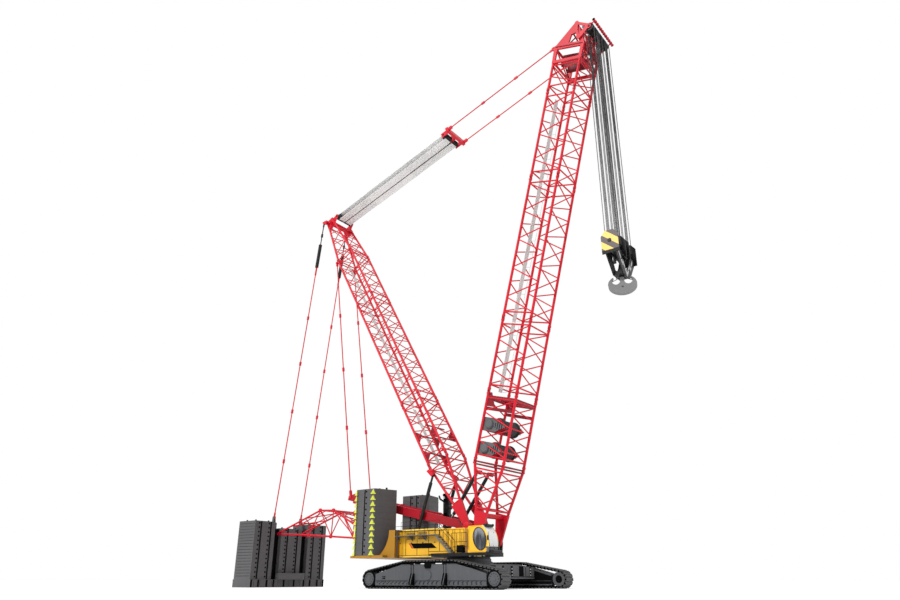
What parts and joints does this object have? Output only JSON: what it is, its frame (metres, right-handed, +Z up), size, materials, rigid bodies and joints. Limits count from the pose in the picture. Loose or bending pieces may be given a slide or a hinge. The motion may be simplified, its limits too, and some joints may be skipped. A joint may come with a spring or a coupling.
{
  "type": "1:10 scale model of a lattice boom crawler crane with derrick mast and superlift ballast",
  "caption": "Scale model crawler crane with a lattice boom, derrick mast, superlift ballast, roped hook block and slewing upper structure on tracks.",
  "frame": {"origin": "on the ground under the slewing axis", "axes": "+X forward, the way the boom leans, +Y to the left, +Z up"},
  "size_m": [4.4504, 1.192, 5.4444],
  "materials": {
    "red_paint": "gloss paint",
    "yellow_paint": "gloss paint",
    "crawler_grey": "satin paint",
    "track_steel": "worn dark steel",
    "ballast_grey": "matt grey paint",
    "dark_grey": "satin paint",
    "black_paint": "satin paint",
    "glass": "tinted glass",
    "rope_steel": "stranded wire",
    "hook_iron": "forged grey",
    "sheave_grey": "cast polymer",
    "rod_chrome": "polished"
  },
  "bodies": {
    "base": {"carbody": "crawler_grey", "crawler_frame_left": "crawler_grey", "crawler_frame_right": "crawler_grey", "track_left": "track_steel", "track_right": "track_steel", "track_wheels": "crawler_grey"},
    "upper": {"turntable": "yellow_paint", "machinery_houses": "yellow_paint", "engine": "dark_grey", "cab": "yellow_paint", "cab_glass": "glass", "platform": "black_paint", "walkways": "black_paint", "counterweight_tray": "yellow_paint", "counterweights": "ballast_grey", "hydraulic_unit": "dark_grey"},
    "door": {"cab_door": "yellow_paint", "door_glass": "glass"},
    "boom": {"boom_foot": "red_paint", "boom_winch_section": "red_paint", "boom_section_1": "red_paint", "boom_section_2": "red_paint", "boom_section_3": "red_paint", "boom_head": "red_paint", "boom_walkway": "rope_steel"},
    "winch_1": {"hoist_winch_1": "dark_grey"},
    "winch_2": {"hoist_winch_2": "dark_grey"},
    "head_sheave_set": {"head_sheaves": "sheave_grey"},
    "hoist_fall": {"hoist_ropes_1": "rope_steel"},
    "hoist_fall_2": {"hoist_ropes_2": "rope_steel"},
    "hoist_fall_3": {"hoist_ropes_3": "rope_steel"},
    "lower_block": {"hook_block": "black_paint", "hoist_ropes_4": "rope_steel"},
    "block_sheave_set": {"block_sheaves": "sheave_grey"},
    "hook": {"hook": "hook_iron"},
    "stay": {"stay_pendants": "red_paint", "stay_block": "red_paint", "luff_ropes_6": "rope_steel"},
    "stay_sheave_set": {"luff_sheaves": "sheave_grey"},
    "luff_fall": {"luff_ropes_1": "rope_steel"},
    "luff_fall_2": {"luff_ropes_2": "rope_steel"},
    "luff_fall_3": {"luff_ropes_3": "rope_steel"},
    "luff_fall_4": {"luff_ropes_4": "rope_steel"},
    "luff_fall_5": {"luff_ropes_5": "rope_steel"},
    "boom_stop_barrels": {"boom_backstop_barrels": "black_paint"},
    "boom_stop_rods": {"boom_backstop_rods": "rod_chrome"},
    "derrick": {"mast_foot": "red_paint", "mast_section_1": "red_paint", "mast_section_2": "red_paint", "mast_head": "red_paint", "back_frame": "red_paint", "back_pendants": "red_paint", "pull_cylinders": "black_paint"},
    "mast_sheave_set": {"mast_sheaves": "sheave_grey"},
    "superlift": {"superlift_pendants": "red_paint"},
    "guide": {"guide_frame": "red_paint"},
    "ballast": {"ballast_tray": "ballast_grey", "ballast_stacks": "ballast_grey"},
    "mast_stop_barrels": {"mast_backstop_barrels": "black_paint"},
    "mast_stop_rods": {"mast_backstop_rods": "rod_chrome"}
  },
  "joints": [
    {"name": "slewing", "type": "hinge", "parent": "base", "child": "upper", "pos_m": [0, 0, 0.246], "axis": [0, 0, 1], "continuous": true},
    {"name": "cab_door_hinge", "type": "hinge", "parent": "upper", "child": "door", "pos_m": [0.312, -0.43, 0.387], "axis": [0, 0, -1], "range_deg": [0, 80]},
    {"name": "boom_luffing", "type": "hinge", "parent": "upper", "child": "boom", "pos_m": [0.212, 0, 0.382], "axis": [0, 1, 0], "range_deg": [-8, 40]},
    {"name": "hoist_winch_1_spin", "type": "hinge", "parent": "boom", "child": "winch_1", "pos_m": [0.3848, 0, 1.15345], "axis": [0, 1, 0], "continuous": true},
    {"name": "hoist_winch_2_spin", "type": "hinge", "parent": "boom", "child": "winch_2", "pos_m": [0.441, 0, 1.36616], "axis": [0, 1, 0], "continuous": true},
    {"name": "head_sheaves_spin", "type": "hinge", "parent": "boom", "child": "head_sheave_set", "pos_m": [1.68908, 0, 5.28743], "axis": [0, 1, 0], "continuous": true},
    {"name": "hoist_ropes_plumb", "type": "hinge", "parent": "boom", "child": "hoist_fall", "pos_m": [1.68908, 0, 5.28743], "axis": [0, 1, 0], "range_deg": [-40, 8]},
    {"name": "hoisting", "type": "slide", "parent": "hoist_fall", "child": "lower_block", "axis": [0, 0, 1], "range_m": [-2, 1.2]},
    {"name": "hoist_ropes_2_slide", "type": "slide", "parent": "hoist_fall", "child": "hoist_fall_2", "axis": [0, 0, 1], "range_m": [-0.66668, 0.40001]},
    {"name": "hoist_ropes_3_slide", "type": "slide", "parent": "hoist_fall", "child": "hoist_fall_3", "axis": [0, 0, 1], "range_m": [-1.33334, 0.80001]},
    {"name": "block_sheaves_spin", "type": "hinge", "parent": "lower_block", "child": "block_sheave_set", "pos_m": [1.68908, 0, 2.85], "axis": [0, 1, 0], "continuous": true},
    {"name": "hook_swivel", "type": "hinge", "parent": "lower_block", "child": "hook", "pos_m": [1.68908, 0, 2.6], "axis": [0, 0, 1], "continuous": true},
    {"name": "stay_swing", "type": "hinge", "parent": "boom", "child": "stay", "pos_m": [1.258, 0, 5.25], "axis": [0, 1, 0], "range_deg": [-14.4, 2.88]},
    {"name": "stay_sheaves_spin", "type": "hinge", "parent": "stay", "child": "stay_sheave_set", "pos_m": [-0.2022, 0, 4.80053], "axis": [0, 1, 0], "continuous": true},
    {"name": "luff_ropes_swing", "type": "hinge", "parent": "derrick", "child": "luff_fall", "pos_m": [-1.86042, 0, 4.2901], "axis": [0, 1, 0], "range_deg": [-5.12, 25.6]},
    {"name": "luff_ropes_2_slide", "type": "slide", "parent": "luff_fall", "child": "luff_fall_2", "axis": [0.9557, 0, 0.2942], "range_m": [-0.11255, 0.5627]},
    {"name": "luff_ropes_3_slide", "type": "slide", "parent": "luff_fall", "child": "luff_fall_3", "axis": [0.9557, 0, 0.2942], "range_m": [-0.22509, 1.1254]},
    {"name": "luff_ropes_4_slide", "type": "slide", "parent": "luff_fall", "child": "luff_fall_4", "axis": [0.9557, 0, 0.2942], "range_m": [-0.33763, 1.68809]},
    {"name": "luff_ropes_5_slide", "type": "slide", "parent": "luff_fall", "child": "luff_fall_5", "axis": [0.9557, 0, 0.2942], "range_m": [-0.45017, 2.25079]},
    {"name": "boom_backstop_swing", "type": "hinge", "parent": "boom", "child": "boom_stop_barrels", "pos_m": [0.175, 0, 0.985], "axis": [0, 1, 0], "range_deg": [-11.6, 2.32]},
    {"name": "boom_backstop_slide", "type": "slide", "parent": "boom_stop_barrels", "child": "boom_stop_rods", "axis": [-0.6003, 0, -0.7998], "range_m": [-0.04958, 0.24785]},
    {"name": "derrick_luffing", "type": "hinge", "parent": "upper", "child": "derrick", "pos_m": [0.1, 0, 0.515], "axis": [0, 1, 0], "range_deg": [0, 2.5]},
    {"name": "mast_sheaves_spin", "type": "hinge", "parent": "derrick", "child": "mast_sheave_set", "pos_m": [-1.86042, 0, 4.2901], "axis": [0, 1, 0], "continuous": true},
    {"name": "superlift_cylinders_slide", "type": "slide", "parent": "derrick", "child": "superlift", "axis": [-0.1228, 0, -0.9924], "range_m": [-0.03001, 0]},
    {"name": "guide_frame_swing", "type": "hinge", "parent": "upper", "child": "guide", "pos_m": [-0.632, 0, 0.4], "axis": [0, 1, 0], "range_deg": [0, 4.51]},
    {"name": "ballast_level", "type": "hinge", "parent": "guide", "child": "ballast", "pos_m": [-2.425, 0, 0.534], "axis": [0, 1, 0], "range_deg": [-4.51, 0]},
    {"name": "mast_backstop_swing", "type": "hinge", "parent": "upper", "child": "mast_stop_barrels", "pos_m": [-0.425, 0, 0.507], "axis": [0, 1, 0], "range_deg": [0, 1.61]},
    {"name": "mast_backstop_slide", "type": "slide", "parent": "mast_stop_barrels", "child": "mast_stop_rods", "axis": [0.3228, 0, 0.9465], "range_m": [0, 0.02147]}
  ],
  "couplings": [
    {"joint": "hoist_ropes_plumb", "follows": "boom_luffing", "ratio": -1},
    {"joint": "hoist_ropes_2_slide", "follows": "hoisting", "ratio": 0.33333},
    {"joint": "hoist_ropes_3_slide", "follows": "hoisting", "ratio": 0.66667},
    {"joint": "stay_swing", "follows": "boom_luffing", "ratio": -0.36},
    {"joint": "luff_ropes_swing", "follows": "boom_luffing", "ratio": 0.64},
    {"joint": "luff_ropes_2_slide", "follows": "boom_luffing", "m_per_rad": 0.806},
    {"joint": "luff_ropes_3_slide", "follows": "boom_luffing", "m_per_rad": 1.612},
    {"joint": "luff_ropes_4_slide", "follows": "boom_luffing", "m_per_rad": 2.418},
    {"joint": "luff_ropes_5_slide", "follows": "boom_luffing", "m_per_rad": 3.224},
    {"joint": "boom_backstop_swing", "follows": "boom_luffing", "ratio": -0.29},
    {"joint": "boom_backstop_slide", "follows": "boom_luffing", "m_per_rad": 0.355},
    {"joint": "superlift_cylinders_slide", "follows": "derrick_luffing", "m_per_rad": -0.68755},
    {"joint": "guide_frame_swing", "follows": "derrick_luffing", "ratio": 1.8046},
    {"joint": "ballast_level", "follows": "derrick_luffing", "ratio": -1.8046},
    {"joint": "mast_backstop_swing", "follows": "derrick_luffing", "ratio": 0.645},
    {"joint": "mast_backstop_slide", "follows": "derrick_luffing", "m_per_rad": 0.4918}
  ]
}
